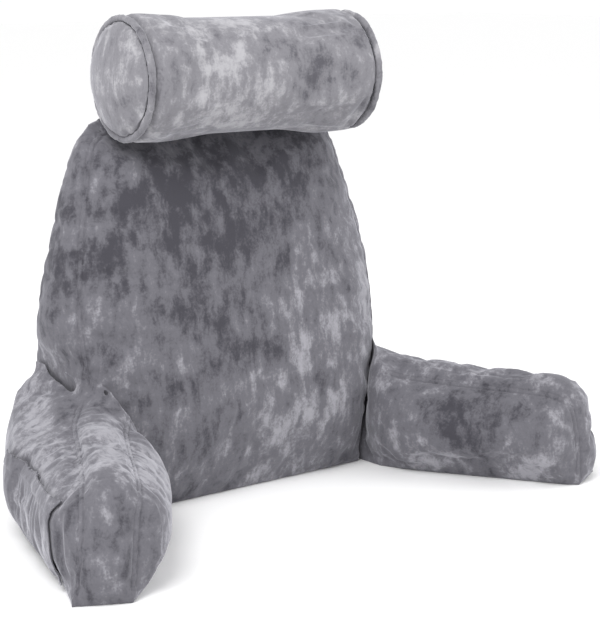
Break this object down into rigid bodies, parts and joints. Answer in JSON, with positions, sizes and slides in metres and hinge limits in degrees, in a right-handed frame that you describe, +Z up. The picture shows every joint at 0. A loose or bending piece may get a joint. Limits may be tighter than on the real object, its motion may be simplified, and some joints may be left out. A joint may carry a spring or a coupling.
{
  "type": "reading pillow with arms",
  "caption": "Reclined velvet back cushion with splayed arms, a corded neck roll lying on its top edge and a patch pocket on one arm.",
  "frame": {"origin": "middle of the back cushion's flat underside, on the surface that the pillow stands on", "axes": "+Z up; +X along the pillow's width, from one arm tip to the other; -Y is the way the arms reach and the way the sitter faces"},
  "size_m": [0.8342, 0.4513, 0.623],
  "materials": {
    "velvet": "plush grey velvet, brushed, with light and dark nap",
    "velvet_roll": "plush grey velvet, brushed the light way"
  },
  "bodies": {
    "root": {"back_cushion": "velvet", "arm_left": "velvet", "arm_right": "velvet", "pocket_left": "velvet", "neck_roll": "velvet_roll", "piping_left": "velvet_roll", "piping_right": "velvet_roll"}
  },
  "joints": []
}
